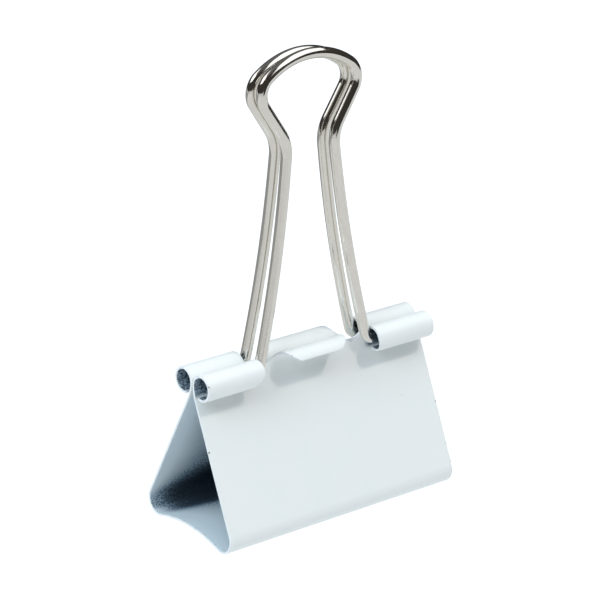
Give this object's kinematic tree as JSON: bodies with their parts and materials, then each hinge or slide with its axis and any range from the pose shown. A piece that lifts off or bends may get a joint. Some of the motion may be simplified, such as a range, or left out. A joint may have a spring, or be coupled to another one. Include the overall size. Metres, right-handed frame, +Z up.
{
  "type": "binder clip",
  "caption": "Large binder clip: an enamelled folded spring-steel body with rolled top edges and keyhole wire handles that swing flat.",
  "frame": {"origin": "midway between the feet, on the surface the clip stands on", "axes": "+X along the rolled tubes, towards the right; -Y towards the front jaw; +Z up, from the spine to the handles"},
  "size_m": [0.051, 0.0238, 0.0838],
  "materials": {
    "white_enamel": "gloss",
    "nickel_wire": "polished"
  },
  "bodies": {
    "spine": {"spine": "white_enamel"},
    "front_jaw": {"front_jaw": "white_enamel"},
    "rear_jaw": {"rear_jaw": "white_enamel"},
    "front_handle": {"front_handle": "nickel_wire"},
    "rear_handle": {"rear_handle": "nickel_wire"}
  },
  "joints": [
    {"name": "front_jaw_flex", "type": "hinge", "parent": "spine", "child": "front_jaw", "pos_m": [0, -0.00905, 0.00285], "axis": [1, 0, 0], "range_deg": [0, 22], "stiffness_Nm_per_rad": 0.8, "springref_deg": -11.46},
    {"name": "rear_jaw_flex", "type": "hinge", "parent": "spine", "child": "rear_jaw", "pos_m": [0, 0.00905, 0.00285], "axis": [-1, 0, 0], "range_deg": [0, 22], "stiffness_Nm_per_rad": 0.8, "springref_deg": -11.46},
    {"name": "front_handle_pivot", "type": "hinge", "parent": "front_jaw", "child": "front_handle", "pos_m": [0, -0.00245, 0.0286], "axis": [1, 0, 0], "range_deg": [0, 160]},
    {"name": "rear_handle_pivot", "type": "hinge", "parent": "rear_jaw", "child": "rear_handle", "pos_m": [0, 0.00245, 0.0286], "axis": [-1, 0, 0], "range_deg": [0, 152]}
  ]
}
